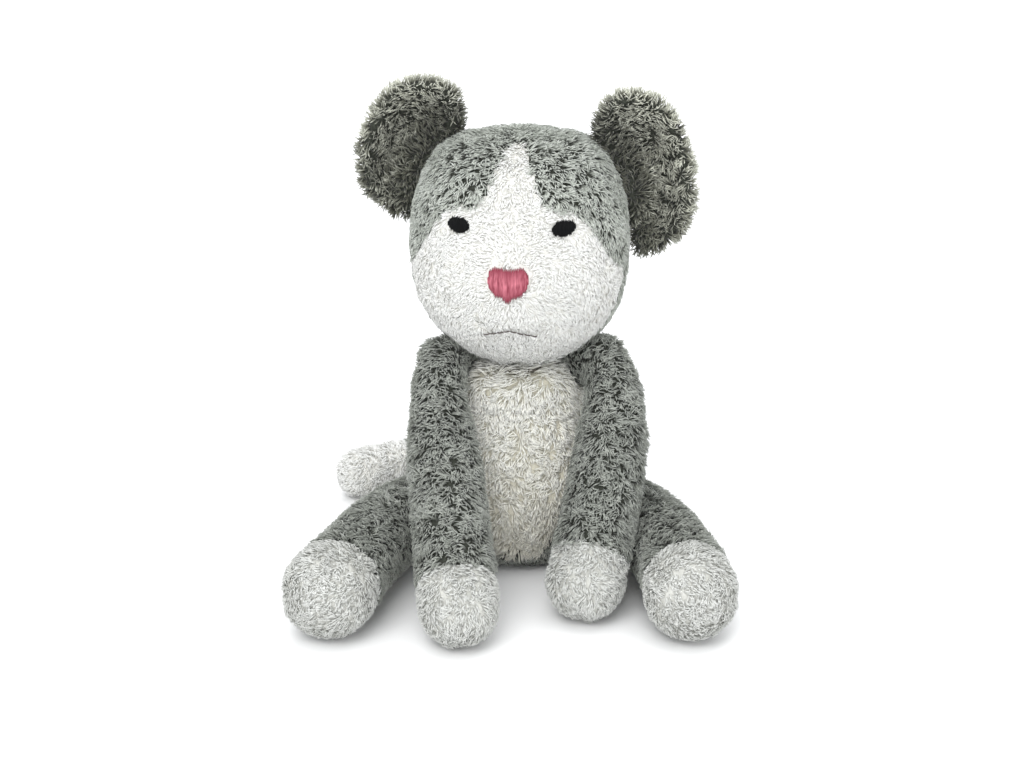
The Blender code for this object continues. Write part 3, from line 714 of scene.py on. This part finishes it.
def away_from(point, down=0.0):
    """Pile that lies away from a point, and a little downwards."""
    origin = np.array(point)

    def flow(spots, normals):
        lay = along_cloth(spots - origin, normals) + np.array((0, 0, -down))
        return along_cloth(lay, normals)

    return flow


def head_flow(spots, normals):
    """Pile that lies away from the nose on the face and away from the crown elsewhere."""
    nose_low, nose_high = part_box("nose_embroidery")
    nose = np.array((nose_low + nose_high) / 2)
    _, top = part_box("head_filling")
    crown = np.array((0, 0.012, top.z + 0.01))
    out = along_cloth(spots - nose, normals)
    down = along_cloth(spots - crown, normals)
    near = np.clip(1 - np.linalg.norm(spots - nose, axis=1, keepdims=True) / 0.055, 0, 1)
    return unit(out * near + down * (1 - near))


def long_at_neck(spots):
    """Longer pile round the neck, so that head and body meet in it, with painted light brightening it there.
    """
    near = np.clip(1 - np.linalg.norm((spots - neck) / np.array((1.3, 1.3, 0.8)), axis=1) / 0.030, 0, 1)
    return 1 + 0.9 * near, 1.2 * near


def shaded_belly(spots):
    """The body's pile: long at the neck, and in front brighter towards the chest and darker lower down, as
    painted light and shade.
    """
    longer, painted_light_and_shade = long_at_neck(spots)
    front = spots[:, 1] < 0
    # Painted light high on the chest, painted shade lower down
    painted_light_by_height = np.clip((spots[:, 2] - 0.042) * 18, -0.45, 0.50)
    return longer, painted_light_by_height * front + painted_light_and_shade * front


def ear_change(head_tree, tone):
    """An ear is darker in its hollow and brighter along its rim and its fold: painted shade in the hollow,
    painted light on the rim and fold.
    """

    def change(spots):
        reach = np.array([head_tree.find_nearest(Vector(p))[3] for p in spots])
        top = spots[:, 2].max()
        high = np.clip((spots[:, 2] - top + 0.020) / 0.020, 0, 1)
        # Painted shade towards the head in the hollow, painted light out at the rim and on the top
        return np.ones(len(spots)), 1.15 * (reach / reach.max() - 0.72) + 0.40 * high + tone

    return change


def ear_flow(head_tree, pivot):
    """Pile that lies out along the ear, and back over its seam at the foot."""
    outward = away_from(pivot, 0.25)

    def flow(spots, normals):
        found = [head_tree.find_nearest(Vector(p)) for p in spots]
        gap = np.array([hit[3] for hit in found])
        homeward = along_cloth(np.array([hit[0][:] for hit in found]) - spots, normals)
        share = np.clip((0.0065 - gap) / 0.003, 0, 1)[:, None]
        return unit(outward(spots, normals) * (1 - share) + homeward * share)

    return flow


pivots = {joint["child"]: joint["pos_m"] for joint in frame["joints"]}
neck = np.array(pivots["head"])
skins = {}
for body in PANELS:
    skins[body] = stuffed_skin(body)

crowned(skins["head"][0])
head_tree = tree_of(skins["head"][0].data)
for side in SIDES:
    sewn_on(skins[f"ear_{side}"][0], head_tree)
    shrugged(skins[f"arm_{side}"][0], pivots[f"arm_{side}"])

bounds = {}
for body, (skin, trees) in skins.items():
    spots = places(skin.data)
    bounds[body] = (tree_of(skin.data), spots.min(axis=0), spots.max(axis=0))

embroidered = [tree_of(frame["nodes"][n].data) for n in ("eye_left", "eye_right", "nose_embroidery")]
for body, (skin, trees) in skins.items():
    change = no_change
    if body == "head":
        flow = head_flow
        change = long_at_neck
    elif body == "torso":
        flow = away_from((0, 0.0, 0.25), 0.4)
        change = shaded_belly
    elif body.startswith("ear"):
        flow = ear_flow(head_tree, pivots[body])
        # Painted light and shade on the whole ear: the left ear a little brighter, the right ear darker
        change = ear_change(head_tree, 0.06 if body == "ear_left" else -0.12)
    else:
        flow = away_from(pivots[body], 0.25)
    others = [bounds[other] for other in PANELS if other != body]
    grow_pile(body, skin, trees, flow, others, embroidered if body == "head" else [], change)

satin_patch("nose_embroidery", rose_thread, 0.00050)
satin_patch("eye_left", black_thread, 0.0006)
satin_patch("eye_right", black_thread, 0.0006)
mouth_line("mouth_stitches", mouth_thread)

for name, node in frame["nodes"].items():
    if "filling" in name or name.endswith("seam_stitches"):
        node.data.materials.clear()
        node.data.materials.append(wool if "filling" in name else seam_thread)

# ---------------------------------------------------------------- floor, light and camera

floor_form = bmesh.new()
bmesh.ops.create_grid(floor_form, x_segments=4, y_segments=4, size=8)
floor_mesh = bpy.data.meshes.new("floor")
floor_form.to_mesh(floor_mesh)
floor_form.free()
floor = in_scene("floor", floor_mesh)
floor_paint, floor_tree, floor_shader = new_material("pale_floor", 0.8)
floor_shader.inputs["Base Color"].default_value = (0.93, 0.93, 0.93, 1)
floor_mesh.materials.append(floor_paint)


def soft_light(name, place, target, size, power):
    """A white square soft box that faces a point."""
    data = bpy.data.lights.new(name, "AREA")
    data.size = size
    data.energy = power
    lamp = bpy.data.objects.new(name, data)
    lamp.location = place
    lamp.rotation_euler = (Vector(target) - Vector(place)).to_track_quat("-Z", "Y").to_euler()
    bpy.context.scene.collection.objects.link(lamp)


soft_light("key_light", (-0.5, -1.6, 2.0), (0, 0, 0.12), 1.4, 30)
soft_light("front_light", (0.1, -2.0, 0.35), (0, 0, 0.08), 1.4, 14)
soft_light("top_light", (0.2, 1.2, 3.0), (0, 0.9, 0.0), 4.0, 70)
world = bpy.data.worlds.new("studio")
world.use_nodes = True
world.node_tree.nodes["Background"].inputs["Color"].default_value = (0.96, 0.98, 1.0, 1)
world.node_tree.nodes["Background"].inputs["Strength"].default_value = 0.85
bpy.context.scene.world = world
bpy.context.scene.view_settings.view_transform = "Standard"

middle = Vector((-0.0035, -0.035, 0.0914))
rise = math.radians(20)
camera_data = bpy.data.cameras.new("camera")
camera_data.sensor_width = 36
camera_data.lens = 79.2
camera = bpy.data.objects.new("camera", camera_data)
camera.location = middle + Vector((0, -math.cos(rise), math.sin(rise)))
camera.rotation_euler = (math.pi / 2 - rise, 0, 0)
bpy.context.scene.collection.objects.link(camera)
bpy.context.scene.camera = camera
